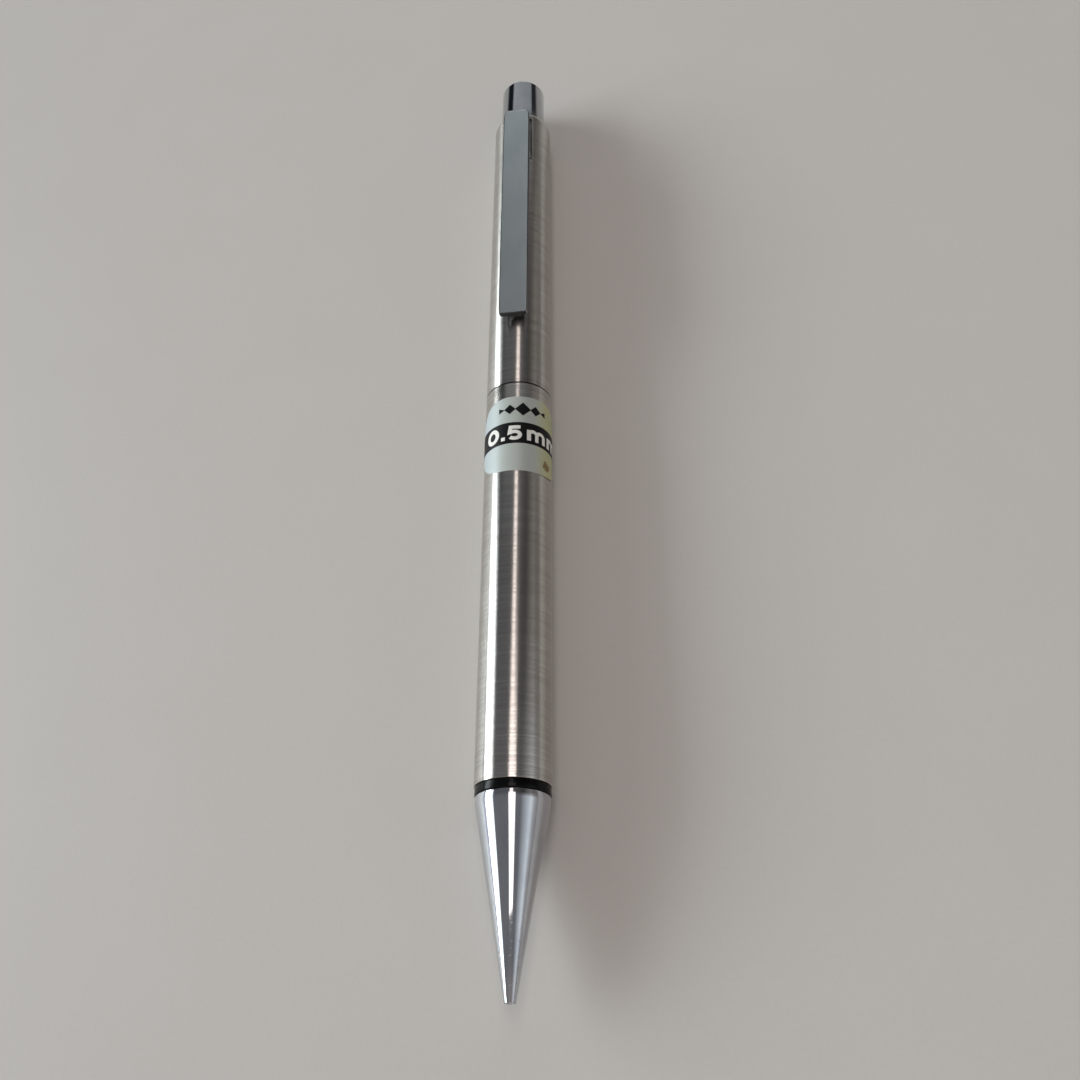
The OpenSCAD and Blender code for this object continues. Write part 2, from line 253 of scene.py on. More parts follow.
def polishedChrome(name, settings, pitFrom=None):
    # chrome on turned brass: mirror bright and slightly blue, with the last tool
    # marks just showing through, and small pits where it is worn
    material, tree, shader = newMaterial(name, {"Metallic": 1.0})
    turning = grainNoise(tree, (12.0, settings["turningMm"], 12.0), 2.0, 0.5)
    haze = grainNoise(tree, (4.0, 7.0, 4.0), 4.0, 0.6)
    hazeMix = remapped(tree, haze, 0.35, 0.7, 0.0, 1.0)
    colour = mixedColour(tree, hazeMix, settings["clear"], settings["hazed"])
    rough = remapped(tree, haze, 0.3, 0.75, settings["roughLow"], settings["roughHigh"])
    normal = bumped(tree, turning, 0.12, 0.002)
    if pitFrom is not None:
        pits = grainNoise(tree, (settings["pitMm"],) * 3, 2.0, 0.5)
        place = addNode(tree, "TexCoord")
        along = addNode(tree, "SeparateXYZ", None, {0: place.outputs["Object"]}).outputs["Y"]
        near = remapped(tree, along, tipY + pitFrom * mm, tipY, 0.0, 1.0)
        pitted = addNode(
            tree, "Math", {"operation": "MULTIPLY"},
            {0: remapped(tree, pits, 0.62, 0.72, 0.0, 1.0), 1: near},
        ).outputs[0]
        colour = mixedColour(tree, pitted, colour, "#8c8781")
        rough = addNode(
            tree, "Math", {"operation": "MULTIPLY_ADD", 1: 0.25}, {0: pitted, 2: rough},
        ).outputs[0]
        normal = bumped(tree, pitted, 0.4, -0.01, normal)
    tree.links.new(colour, shader.inputs["Base Color"])
    tree.links.new(rough, shader.inputs["Roughness"])
    tree.links.new(normal, shader.inputs["Normal"])
    return material


satinSettings = {
    "clear": "#d0d7d9",
    "rubbed": "#c2cacd",
    "roughLow": 0.2,
    "roughHigh": 0.22,
    "grainMm": 0.3,
}


def satinChrome(name, settings):
    # chrome on a strip that was linished lengthwise: a cool grey face with long
    # faint lines and a few rubbed patches
    material, tree, shader = newMaterial(name, {"Metallic": 1.0})
    lines = grainNoise(tree, (settings["grainMm"], 9.0, 2.0), 3.0, 0.6)
    rubbed = grainNoise(tree, (2.5, 6.0, 2.5), 4.0, 0.6)
    rubbedMix = remapped(tree, rubbed, 0.3, 0.7, 0.0, 1.0)
    colour = mixedColour(tree, rubbedMix, settings["clear"], settings["rubbed"])
    rough = addNode(
        tree, "Math", {"operation": "MULTIPLY_ADD", 1: 0.06},
        {0: rubbed, 2: remapped(tree, lines, 0.3, 0.7, settings["roughLow"], settings["roughHigh"])},
    ).outputs[0]
    tree.links.new(colour, shader.inputs["Base Color"])
    tree.links.new(rough, shader.inputs["Roughness"])
    tree.links.new(bumped(tree, lines, 0.02, 0.001), shader.inputs["Normal"])
    return material


def mouldedPlastic(name, settings):
    # injection-moulded plastic: smooth skin with a faint unevenness and fine dust
    material, tree, shader = newMaterial(name, {
        "IOR": settings["ior"],
        "Coat Weight": settings.get("coat", 0.0),
        "Coat Roughness": 0.06,
        "Specular IOR Level": settings.get("specular", 0.5),
        "Subsurface Weight": settings.get("depth", 0.0),
        "Subsurface Radius": (0.6, 0.5, 0.4),
        "Subsurface Scale": 0.0006,
    })
    skin = grainNoise(tree, (1.6, 1.6, 1.6), 3.0, 0.5)
    dust = grainNoise(tree, (0.16, 0.16, 0.16), 2.0, 0.6)
    specks = remapped(tree, dust, 0.66, 0.74, 0.0, settings["dust"])
    colour = mixedColour(tree, skin, settings["colour"], settings["shade"])
    colour = mixedColour(tree, specks, colour, settings["dustColour"])
    rough = remapped(tree, skin, 0.3, 0.7, settings["roughLow"], settings["roughHigh"])
    tree.links.new(colour, shader.inputs["Base Color"])
    tree.links.new(rough, shader.inputs["Roughness"])
    tree.links.new(bumped(tree, skin, 0.08, 0.01), shader.inputs["Normal"])
    return material


def turnedBrass(name, settings):
    # brass off the lathe: yellow metal with fine tool rings and a little tarnish
    material, tree, shader = newMaterial(name, {"Metallic": 1.0})
    rings = grainNoise(tree, (15.0, settings["ringMm"], 15.0), 2.0, 0.6)
    tarnish = grainNoise(tree, (1.2, 1.8, 1.2), 4.0, 0.65)
    colour = mixedColour(
        tree, remapped(tree, tarnish, 0.45, 0.75, 0.0, 1.0), settings["clean"], settings["tarnished"],
    )
    rough = remapped(tree, tarnish, 0.3, 0.7, settings["roughLow"], settings["roughHigh"])
    tree.links.new(colour, shader.inputs["Base Color"])
    tree.links.new(rough, shader.inputs["Roughness"])
    tree.links.new(bumped(tree, rings, 0.3, 0.006), shader.inputs["Normal"])
    return material


def drawnSteel(name, settings):
    # plain drawn steel wire and tube: grey, with die lines and light oil staining
    material, tree, shader = newMaterial(name, {"Metallic": 1.0})
    lines = grainNoise(tree, settings["lineMm"], 3.0, 0.6)
    stain = grainNoise(tree, (0.8, 0.8, 0.8), 3.0, 0.6)
    colour = mixedColour(tree, stain, settings["bright"], settings["stained"])
    rough = remapped(tree, lines, 0.3, 0.7, settings["roughLow"], settings["roughHigh"])
    tree.links.new(colour, shader.inputs["Base Color"])
    tree.links.new(rough, shader.inputs["Roughness"])
    tree.links.new(bumped(tree, lines, 0.2, 0.003), shader.inputs["Normal"])
    return material


def softEraser(name, settings):
    # vinyl eraser: chalky, soft to the light, with graphite smudges on its face
    material, tree, shader = newMaterial(name, {
        "IOR": 1.5,
        "Sheen Weight": 0.25,
        "Sheen Roughness": 0.5,
        "Subsurface Weight": 0.2,
        "Subsurface Scale": 0.0008,
    })
    chalk = grainNoise(tree, (0.12, 0.12, 0.12), 3.0, 0.7)
    smudge = grainNoise(tree, (0.9, 0.9, 0.9), 4.0, 0.65)
    colour = mixedColour(tree, chalk, settings["clean"], settings["shade"])
    colour = mixedColour(tree, remapped(tree, smudge, 0.55, 0.75, 0.0, 0.5), colour, settings["smudge"])
    tree.links.new(colour, shader.inputs["Base Color"])
    tree.links.new(remapped(tree, chalk, 0.3, 0.7, 0.7, 0.9), shader.inputs["Roughness"])
    tree.links.new(bumped(tree, chalk, 0.4, 0.03), shader.inputs["Normal"])
    return material


def graphiteLead(name, settings):
    # polymer-bound graphite: near black with a soft metallic gleam and drawn lines
    material, tree, shader = newMaterial(name, {"Metallic": 0.35, "IOR": 1.9})
    drawn = grainNoise(tree, (0.05, 3.0, 0.05), 2.0, 0.5)
    colour = mixedColour(tree, drawn, settings["dark"], settings["gleam"])
    tree.links.new(colour, shader.inputs["Base Color"])
    tree.links.new(remapped(tree, drawn, 0.3, 0.7, 0.32, 0.5), shader.inputs["Roughness"])
    tree.links.new(bumped(tree, drawn, 0.2, 0.004), shader.inputs["Normal"])
    return material


filmSettings = {
    "cool": "#b3bdc3",
    "middle": "#bac2bd",
    "warm": "#bdbf8d",
    "stain": "#7d5f35",
    "stainTurn": 65.0,
    "stainFromTip": 63.2,
    "stainMm": 0.56,
}


def pearlFilm(name, settings):
    # metallised polyester film with a pearly print: silvery green, bluer on one
    # side, yellowed on the other, with an old glue stain near its edge
    material, tree, shader = newMaterial(name, {
        "Metallic": 0.15,
        "Coat Weight": 0.1,
        "Coat Roughness": 0.25,
        "IOR": 1.5,
    })
    place = addNode(tree, "TexCoord").outputs["Object"]
    split = addNode(tree, "SeparateXYZ", None, {0: place})
    across = remapped(tree, split.outputs["X"], -barrelRadius * mm, barrelRadius * mm, 0.0, 1.0)
    pearl = grainNoise(tree, (0.18, 0.18, 0.18), 3.0, 0.6)
    cloud = grainNoise(tree, (2.2, 2.2, 2.2), 3.0, 0.5)
    shifted = addNode(
        tree, "Math", {"operation": "MULTIPLY_ADD", 1: 0.12}, {0: cloud, 2: across},
    ).outputs[0]
    tint = addNode(tree, "ValToRGB", {"stops": [
        (0.1, settings["cool"]),
        (0.45, settings["middle"]),
        (0.86, settings["middle"]),
        (1.0, settings["warm"]),
    ]}, {"Fac": shifted}).outputs["Color"]
    tint = mixedColour(tree, remapped(tree, pearl, 0.35, 0.7, 0.0, 0.35), tint, "#aab2ad")
    centre = placed(barrelRadius, settings["stainFromTip"], settings["stainTurn"])
    reach = addNode(
        tree, "VectorMath", {"operation": "DISTANCE", 1: centre}, {0: place},
    ).outputs["Value"]
    ragged = addNode(
        tree, "Math", {"operation": "MULTIPLY_ADD", 1: -0.0014},
        {0: grainNoise(tree, (0.5, 0.5, 0.5), 3.0, 0.6), 2: reach},
    ).outputs[0]
    stained = remapped(tree, ragged, -0.1 * mm, (settings["stainMm"] - 0.5) * mm, 0.9, 0.0)
    tint = mixedColour(tree, stained, tint, settings["stain"])
    tree.links.new(tint, shader.inputs["Base Color"])
    tree.links.new(remapped(tree, pearl, 0.3, 0.7, 0.42, 0.55), shader.inputs["Roughness"])
    tree.links.new(bumped(tree, cloud, 0.15, 0.03), shader.inputs["Normal"])
    return material


def printedInk(name, settings):
    # screen-printed ink: flat and dense, thinner at specks where the film shows
    material, tree, shader = newMaterial(name, {"IOR": 1.48, "Specular IOR Level": 0.2})
    grain = grainNoise(tree, (0.09, 0.09, 0.09), 2.0, 0.6)
    wash = grainNoise(tree, (1.4, 1.4, 1.4), 3.0, 0.5)
    colour = mixedColour(tree, wash, settings["ink"], settings["thin"])
    colour = mixedColour(tree, remapped(tree, grain, 0.68, 0.78, 0.0, 0.5), colour, settings["speck"])
    tree.links.new(colour, shader.inputs["Base Color"])
    tree.links.new(remapped(tree, wash, 0.3, 0.7, 0.4, 0.52), shader.inputs["Roughness"])
    tree.links.new(bumped(tree, grain, 0.1, 0.004), shader.inputs["Normal"])
    return material


steel = brushedStainless("brushed_stainless_steel", brushedSettings)
coneChrome = polishedChrome("polished_chrome_on_brass", chromeSettings, pitFrom=9.0)
buttonChrome = polishedChrome("polished_chrome_on_steel", {
    **chromeSettings, "clear": "#c0c2c5", "hazed": "#abadb1",
})
clipChrome = satinChrome("satin_chrome_on_spring_steel", satinSettings)
sideChrome = polishedChrome("polished_chrome_on_clip_sides", {
    **chromeSettings, "roughLow": 0.08, "roughHigh": 0.14,
})
# darkened copy of the chrome: painted dark reflection and shade for the clip's bevels, underside and free
# end
paintedDarkChrome = polishedChrome("painted_dark_reflection_chrome_on_clip_edges", {
    **chromeSettings, "clear": "#55585d", "hazed": "#3b3e43", "roughLow": 0.15, "roughHigh": 0.3,
})
blackPlastic = mouldedPlastic("black_abs_gloss", {
    "colour": "#08090a", "shade": "#0d0e10", "dustColour": "#6d6c69", "dust": 0.1,
    "roughLow": 0.12, "roughHigh": 0.2, "ior": 1.45, "specular": 0.15,
})
acetal = mouldedPlastic("natural_acetal", {
    "colour": "#e6e2d6", "shade": "#d9d4c4", "dustColour": "#8e8a80", "dust": 0.15,
    "roughLow": 0.35, "roughHigh": 0.48, "ior": 1.48, "depth": 0.3,
})
rubber = mouldedPlastic("black_nitrile_rubber", {
    "colour": "#17171a", "shade": "#202024", "dustColour": "#5c5b58", "dust": 0.35,
    "roughLow": 0.65, "roughHigh": 0.82, "ior": 1.52,
})
brass = turnedBrass("turned_brass", {
    "clean": "#e0bd6f", "tarnished": "#a98446", "ringMm": 0.12, "roughLow": 0.2, "roughHigh": 0.38,
})
wireSteel = drawnSteel("drawn_steel_wire", {
    "bright": "#c4c4c3", "stained": "#98948d", "lineMm": (0.2, 0.2, 0.2), "roughLow": 0.22, "roughHigh": 0.4,
})
tubeSteel = drawnSteel("drawn_steel_tube", {
    "bright": "#cdccca", "stained": "#a9a5a0", "lineMm": (0.08, 3.0, 0.08),
    "roughLow": 0.18, "roughHigh": 0.32,
})
eraserVinyl = softEraser("white_vinyl_eraser", {"clean": "#eeebe4", "shade": "#dfdacf", "smudge": "#77757a"})
graphite = graphiteLead("polymer_graphite_lead", {"dark": "#2b2b2f", "gleam": "#55565c"})
film = pearlFilm("pearl_polyester_film", filmSettings)
blackInk = printedInk("black_screen_ink", {"ink": "#08080a", "thin": "#101013", "speck": "#333436"})
whiteInk = printedInk("white_screen_ink", {"ink": "#f1f2ee", "thin": "#e2e3dc", "speck": "#b9bab2"})
print("materials made:", len(bpy.data.materials))


# ---- mesh tools

def softOutline(points, arcSteps=5):
    # [radius, distance from tip, corner radius]; a corner with a third number is rounded
    result = []
    for i, point in enumerate(points):
        corner = Vector(point[:2])
        radius = point[2] if len(point) > 2 else 0
        if not radius:
            result.append(tuple(corner))
            continue
        before = (Vector(points[i - 1][:2]) - corner).normalized()
        after = (Vector(points[(i + 1) % len(points)][:2]) - corner).normalized()
        half = before.angle(after) / 2
        centre = corner + (before + after).normalized() * radius / math.sin(half)
        start = corner + before * radius / math.tan(half) - centre
        end = corner + after * radius / math.tan(half) - centre
        first = math.atan2(start.y, start.x)
        sweep = (math.atan2(end.y, end.x) - first + math.pi) % (2 * math.pi) - math.pi
        for k in range(arcSteps + 1):
            angle = first + sweep * k / arcSteps
            result.append((centre.x + radius * math.cos(angle), centre.y + radius * math.sin(angle)))
    return result


def finishMesh(name, bm, materials, body, standsFor=(), sharpAngle=32):
    bmesh.ops.recalc_face_normals(bm, faces=bm.faces)
    mesh = bpy.data.meshes.new(name)
    bm.to_mesh(mesh)
    bm.free()
    mesh.shade_smooth()
    mesh.set_sharp_from_angle(angle=math.radians(sharpAngle))
    for material in materials:
        mesh.materials.append(material)
    piece = bpy.data.objects.new(name, mesh)
    bpy.context.scene.collection.objects.link(piece)
    if body:
        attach(piece, body)
    if standsFor:
        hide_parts(*standsFor)
    return piece


def ringOfVerts(bm, radius, distance, turns):
    if radius < 1e-6:
        return [bm.verts.new(placed(0, distance, 0))]
    return [bm.verts.new(placed(radius, distance, turn)) for turn in turns]


def bridge(bm, first, second, k, count):
    # one face between two neighbouring rings, either of which may be a single point
    following = (k + 1) % count
    if len(first) == 1 and len(second) == 1:
        return None
    if len(first) == 1:
        return bm.faces.new((first[0], second[k], second[following]))
    if len(second) == 1:
        return bm.faces.new((first[k], first[following], second[0]))
    return bm.faces.new((first[k], first[following], second[following], second[k]))


def turnedMesh(outline, steps=192, turns=None):
    # revolves a closed outline of (radius, distance from tip) round the pencil's axis
    bm = bmesh.new()
    turns = turns or [360 * k / steps for k in range(steps)]
    rings = [ringOfVerts(bm, r, d, turns) for r, d in outline]
    for i, ring in enumerate(rings):
        following = rings[(i + 1) % len(rings)]
        for k in range(len(turns)):
            bridge(bm, ring, following, k, len(turns))
    return bm, rings


# ---- nose cone

ringFront = fromTip("barrel_ring", 0) - 0.04
lowerFront = fromTip("lower_barrel", 0)
lowerBack = fromTip("lower_barrel", 1)
upperFront = fromTip("upper_barrel", 0)
upperBack = fromTip("upper_barrel", 1)
buttonBack = fromTip("push_button", 1)

cone = {
    "tipRadius": 0.62,
    "topRadius": 4.22,
    "landLength": 0.9,
    "boreRadius": 0.42,
    "spigotRadius": 3.45,
    "spigotEnd": fromTip("nose_cone", 1),
    "threadPitch": 0.8,
    "threadDepth": 0.2,
    "threadTurns": 6,
}


def makeNoseCone(cone):
    landStart = ringFront - cone["landLength"]
    spigot = [(cone["spigotRadius"], ringFront + 0.02)]
    start = ringFront + 1.2
    for i in range(cone["threadTurns"]):
        groove = start + i * cone["threadPitch"]
        spigot += [
            (cone["spigotRadius"], groove + 0.12 * cone["threadPitch"], 0.04),
            (cone["spigotRadius"] - cone["threadDepth"], groove + 0.5 * cone["threadPitch"], 0.05),
            (cone["spigotRadius"], groove + 0.88 * cone["threadPitch"], 0.04),
        ]
    outline = softOutline([
        (cone["boreRadius"], 0.0, 0.03),
        (cone["tipRadius"], 0.0, 0.09),
        (cone["topRadius"] - 0.02, landStart, 0.6),
        (cone["topRadius"], landStart + 0.15),
        (cone["topRadius"], ringFront, 0.1),
        *spigot,
        (cone["spigotRadius"], cone["spigotEnd"], 0.2),
        (2.7, cone["spigotEnd"], 0.05),
        (2.7, 15.7, 0.1),
        (2.1, 15.7, 0.05),
        (2.1, 11.2, 0.2),
        (1.15, 10.2),
        (1.15, 6.4, 0.05),
        (cone["boreRadius"], 6.4),
    ])
    bm, rings = turnedMesh(outline)
    return finishMesh("nose_cone_turned", bm, [coneChrome], "nose", ["nose_cone"])


# ---- black ring and lower barrel

ringSettings = {"radius": 4.3, "innerRadius": 3.5, "edge": 0.16}


def makeRing(settings):
    outline = softOutline([
        (settings["innerRadius"], ringFront + 0.04),
        (settings["radius"], ringFront + 0.04, settings["edge"]),
        (settings["radius"], lowerFront, settings["edge"]),
        (settings["innerRadius"], lowerFront),
    ])
    bm, rings = turnedMesh(outline)
    return finishMesh(
        "barrel_ring_moulded", bm, [blackPlastic], "lower_barrel", ["barrel_ring"],
    )


barrel = {"wall": 0.38, "edge": 0.04}


def makeLowerBarrel(barrel):
    inner = barrelRadius - barrel["wall"]
    outline = softOutline([
        (inner, lowerFront, 0.05),
        (barrelRadius, lowerFront, barrel["edge"]),
        (barrelRadius, lowerBack, barrel["edge"]),
        (inner, lowerBack, 0.05),
    ])
    bm, rings = turnedMesh(outline)
    return finishMesh("lower_barrel_tube", bm, [steel], "lower_barrel", ["lower_barrel"])


# ---- upper barrel, with its shoulder and the slot for the clip

upper = {
    "wall": 0.355,
    "shoulderLength": 1.4,
    "rimRadius": 3.56,
    "holeRadius": 3.46,
    "shoulderBulge": 0.12,
    "slotHalfWidth": 2.08,
    "slotStart": fromTip("clip_arm", 1) - 0.06,
    "slotEnd": fromTip("clip_foot", 1) + 0.12,
}


def makeUpperBarrel(upper):
    inner = upperRadius - upper["wall"]
    shoulder = upperBack - upper["shoulderLength"]
    outerSide = [
        (inner, upperFront, 0.05),
        (upperRadius, upperFront, barrel["edge"]),
        (upperRadius, upper["slotStart"]),
        (upperRadius, upper["slotEnd"]),
    ]
    sweep = []
    start = Vector((upperRadius, shoulder))
    end = Vector((upper["rimRadius"], upperBack))
    run = end - start
    side = Vector((run.y, -run.x)).normalized()
    for i in range(13):
        u = i / 12
        point = start + run * u + side * upper["shoulderBulge"] * 4 * u * (1 - u)
        sweep.append((point.x, point.y))
    innerSide = [
        (upper["holeRadius"], upperBack, 0.04),
        (upper["holeRadius"], upperBack - 0.8),
        (inner, shoulder),
        (inner, upper["slotEnd"]),
        (inner, upper["slotStart"]),
    ]
    outline = softOutline(outerSide + sweep + innerSide)
    half = math.degrees(math.asin(upper["slotHalfWidth"] / upperRadius))
    turns = [360 * k / 192 for k in range(192)]
    left = min(range(192), key=lambda k: abs(turns[k] - (360 - half)))
    right = min(range(192), key=lambda k: abs(turns[k] - half))
    turns[left] = 360 - half
    turns[right] = half
    bm, rings = turnedMesh(outline, turns=turns)

    def ringAt(radius, distance):
        def away(i):
            return abs(outline[i][0] - radius) + abs(outline[i][1] - distance)
        return rings[min(range(len(outline)), key=away)]

    outerStart = ringAt(upperRadius, upper["slotStart"])
    outerEnd = ringAt(upperRadius, upper["slotEnd"])
    innerStart = ringAt(inner, upper["slotStart"])
    innerEnd = ringAt(inner, upper["slotEnd"])
    columns = list(range(left, 192)) + list(range(0, right))
    doomed = []
    for first, second in ((outerStart, outerEnd), (innerStart, innerEnd)):
        for k in columns:
            verts = {first[k], first[(k + 1) % 192], second[k], second[(k + 1) % 192]}
            doomed += [f for f in first[k].link_faces if set(f.verts) == verts]
    bmesh.ops.delete(bm, geom=doomed, context="FACES_ONLY")
    for outer, innerRing in ((outerStart, innerStart), (outerEnd, innerEnd)):
        for k in columns:
            following = (k + 1) % 192
            bm.faces.new((outer[k], outer[following], innerRing[following], innerRing[k]))
    for k in (left, right):
        bm.faces.new((outerStart[k], outerEnd[k], innerEnd[k], innerStart[k]))
    return finishMesh("upper_barrel_tube", bm, [steel], "upper_barrel", ["upper_barrel"])


# ---- push button

button = {
    "radius": (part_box("push_button")[1].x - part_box("push_button")[0].x) / 2 / mm,
    "wall": 0.32,
    "roof": 0.4,
    "endRound": 0.3,
}


def makeButton(button):
    start = fromTip("push_button", 0)
    inner = button["radius"] - button["wall"]
    outline = softOutline([
        (inner, start, 0.04),
        (button["radius"], start, 0.08),
        (button["radius"], buttonBack, button["endRound"]),
        (1.6, buttonBack),
        (0.0, buttonBack),
        (0.0, buttonBack - button["roof"]),
        (inner, buttonBack - button["roof"], 0.3),
    ], 8)
    bm, rings = turnedMesh(outline)
    return finishMesh("push_button_cap", bm, [buttonChrome], "button", ["push_button"])


# ---- pocket clip, one bent strip

clip = {
    "halfWidth": 2.0,
    "legHalfWidth": 1.2,
    "footHalfWidth": 1.95,
    "thickness": 0.7,
    "bevel": 0.13,
    "frontCorner": (0.5, 0.5),     # how far a rounded corner runs along the strip and across it
    "rearCorner": (2.2, 1.3),
    "bendRadius": 0.9,
    "endRound": 0.16,
    "bumpRadius": 1.5,
    "bumpReach": 0.85,
    "bumpFromEnd": 2.6,
    "flexLength": 2.6,
}
clipFront = fromTip("clip_arm", 0)
clipRear = fromTip("clip_foot", 1)
clipTop = heightAboveAxis("clip_arm", 1)
clipSplit = fromTip("clip_arm", 1)


def clipHalfWidth(clip, fromEnd, corner):
    length, cut = corner
    share = max(1 - fromEnd / length, 0)
    return clip["halfWidth"] - cut * (1 - math.sqrt(1 - share ** 2))


def clipStations(clip):
    # (distance from tip, height, lean of the section, half width, drop of the top edge)
    stations = []
    middle = clipTop - clip["thickness"] / 2
    endSteps = [0.0, 0.02, 0.06, 0.12, 0.2, 0.3, 0.4, 0.5]
    for s in endSteps:
        rounded = clip["endRound"]
        drop = 0.0
        if s < rounded:
            drop = rounded - math.sqrt(max(rounded ** 2 - (rounded - s) ** 2, 0))
        width = clipHalfWidth(clip, s, clip["frontCorner"])
        stations.append((clipFront + s, middle, 0.0, width, drop))
    s = 0.6
    while clipFront + s < clipRear - clip["bendRadius"] - 0.05:
        width = clipHalfWidth(clip, clipRear - clipFront - s, clip["rearCorner"])
        stations.append((clipFront + s, middle, 0.0, width, 0.0))
        s += 0.12 if s < 4.6 or s > clipRear - clipFront - 2.0 else 0.9
    bendY = clipRear - clip["bendRadius"]
    bendZ = clipTop - clip["bendRadius"]
    radius = clip["bendRadius"] - clip["thickness"] / 2
    for i in range(17):
        lean = 90 * i / 16
        angle = math.radians(lean)
        outer = clip["bendRadius"] * (1 - math.sin(angle))
        width = max(clip["legHalfWidth"], clipHalfWidth(clip, outer, clip["rearCorner"]))
        stations.append((
            bendY + radius * math.sin(angle), bendZ + radius * math.cos(angle), lean, width, 0.0,
        ))
    for drop in (0.4, 0.8, 1.2, 1.5):
        stations.append((bendY + radius, bendZ - drop, 90.0, clip["legHalfWidth"], 0.0))
    return stations


def clipSection(clip, station):
    # points round the strip; x across and n away from its middle
    distance, height, lean, width, drop = station
    half = clip["thickness"] / 2
    bevel = clip["bevel"]
    top = half - drop
    low = -half
    points = []
    for i in range(25):
        points.append((-width + 0.05 + (2 * width - 0.1) * i / 24, low))
    sideTop = max(top - bevel, low + 0.1)
    flat = width - bevel
    rise = min(bevel, top - low - 0.1)
    arc = [math.radians(30 * i) for i in range(1, 4)]
    edge = [(flat + bevel * math.cos(a), sideTop + rise * math.sin(a)) for a in arc]
    side = [(width, low + 0.05), (width, sideTop - 0.03), (width, sideTop)] + edge + [(flat - 0.03, top)]
    points += side
    for i in range(1, 8):
        points.append((flat - 2 * flat * i / 8, top))
    points += [(-x, n) for x, n in reversed(side)]
    return points


def makeClip(clip):
    bm = bmesh.new()
    rows = []
    bumpCentre = clipTop - clip["thickness"] - clip["bumpReach"] + clip["bumpRadius"]
    for station in clipStations(clip):
        distance, height, lean, width, drop = station
        tilt = math.radians(lean)
        row = []
        for x, n in clipSection(clip, station):
            y = distance + n * math.sin(tilt)
            z = height + n * math.cos(tilt)
            along = y - (clipFront + clip["bumpFromEnd"])
            spread = x * x + along * along
            if lean == 0 and n <= -clip["thickness"] / 2 + 1e-6 and spread < clip["bumpRadius"] ** 2:
                z = min(z, bumpCentre - math.sqrt(clip["bumpRadius"] ** 2 - spread))
            row.append(bm.verts.new((x * mm, tipY + y * mm, axisZ + z * mm)))
        rows.append(row)
    count = len(rows[0])
    for i, (first, second) in enumerate(zip(rows, rows[1:])):
        for k in range(count):
            following = (k + 1) % count
            face = bm.faces.new((first[k], first[following], second[following], second[k]))
            # material 2 is the painted dark reflection and shade: the free end, the bevels and most of the
            # underside get the darkened chrome
            if i < 3:
                face.material_index = 2
            elif 30 <= k <= 39:
                face.material_index = 0
            elif k in (25, 44) or (k < 25 and i > 40):
                face.material_index = 1
            else:
                face.material_index = 2
    bm.faces.new(rows[0]).material_index = 2
    bm.faces.new(rows[-1])
    addFold(bm, clip)
    addTongue(bm, clip)
    piece = finishMesh(
        "pocket_clip_strip", bm, [clipChrome, sideChrome, paintedDarkChrome],
        None, ["clip_arm", "clip_foot"], 50,
    )
    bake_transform(piece)
    return piece


def addFold(bm, clip):
    # the strip's inner fold, which fills the space between the arm and the barrel
    front = clipSplit + 0.1
    back = clipRear - clip["thickness"] + 0.05
    low = barrelRadius - 1.1
    high = clipTop - clip["thickness"] - 0.02
    half = clip["footHalfWidth"]
    corner = clip["rearCorner"]
    ring = softOutline([(front, low, 0.1), (back, low, 0.1), (back, high, 0.1), (front, high, 0.22)], 6)
    sides = [(half, 0.06), (half - 0.06, 0.0), (half - 0.25, 0.0), (half - 0.5, 0.0), (half - 0.8, 0.0)]
    sides = [(-x, shrink) for x, shrink in sides] + sides[::-1]
    centre = Vector(((front + back) / 2, (low + high) / 2))
    loops = []
    for x, shrink in sides:
        loop = []
        share = max(1 - (clip["halfWidth"] - abs(x)) / corner[1], 0)
        limit = back - corner[0] * (1 - math.sqrt(1 - share ** 2))
        for y, z in ring:
            inward = (centre - Vector((y, z))).normalized() * shrink
            y = min(y, limit)
            loop.append(bm.verts.new((x * mm, tipY + (y + inward.x) * mm, axisZ + (z + inward.y) * mm)))
        loops.append(loop)
    for first, second in zip(loops, loops[1:]):
        for k in range(len(ring)):
            following = (k + 1) % len(ring)
            bm.faces.new((first[k], first[following], second[following], second[k]))
    bm.faces.new(loops[0])
    bm.faces.new(loops[-1])


def addTongue(bm, clip):
    # curved plate inside the barrel that holds the clip down
    start = fromTip("clip_foot", 0)
    outer = barrelRadius - 0.4
    inner = outer - 0.3
    reach = math.degrees(math.asin(clip["footHalfWidth"] / outer))
    stations = [start, start + 0.1, clipRear - 0.2, clipRear - 0.1]
    loops = []
    for distance in stations:
        edge = 0.08 if distance in (stations[0], stations[-1]) else 0.0
        arc = [reach * (-1 + 2 * i / 16) * (1 - edge / 2) for i in range(17)]
        upperSide = [bm.verts.new(placed(outer - edge, distance, t)) for t in arc]
        lowerSide = [bm.verts.new(placed(inner + edge, distance, t)) for t in reversed(arc)]
        loops.append(upperSide + lowerSide)
    for first, second in zip(loops, loops[1:]):
        for k in range(len(first)):
            following = (k + 1) % len(first)
            bm.faces.new((first[k], first[following], second[following], second[k]))
    bm.faces.new(loops[0])
    bm.faces.new(loops[-1])


# ---- label, its band and its print

label = {
    "centre": 67.3,
    "height": 11.6,
    "halfAngle": 98.0,
    "turn": 20.5,
    "thickness": 0.07,
    "rings": 40,
    "around": 160,
    "bandStart": 65.65,
    "bandEnd": 68.93,
    "printRaise": 0.02,
    "digitHeight": 2.25,
    "digitBase": 66.17,
    "stroke": 0.56,
    "firstDigitTurn": -51.0,
    "ornamentBase": 70.0,
    "ornamentHeight": 2.1,
    "ornamentTurn": 17.0,
}
filmInner = barrelRadius + 0.004
filmOuter = filmInner + label["thickness"]


def labelLift(turn, distance):
    # the film stands up a little at its lower right edge
    low = max(0.0, (label["centre"] - distance) / (label["height"] / 2))
    right = max(0.0, min(1.0, (turn - 40) / 60))
    return 0.09 * (low ** 4) * right


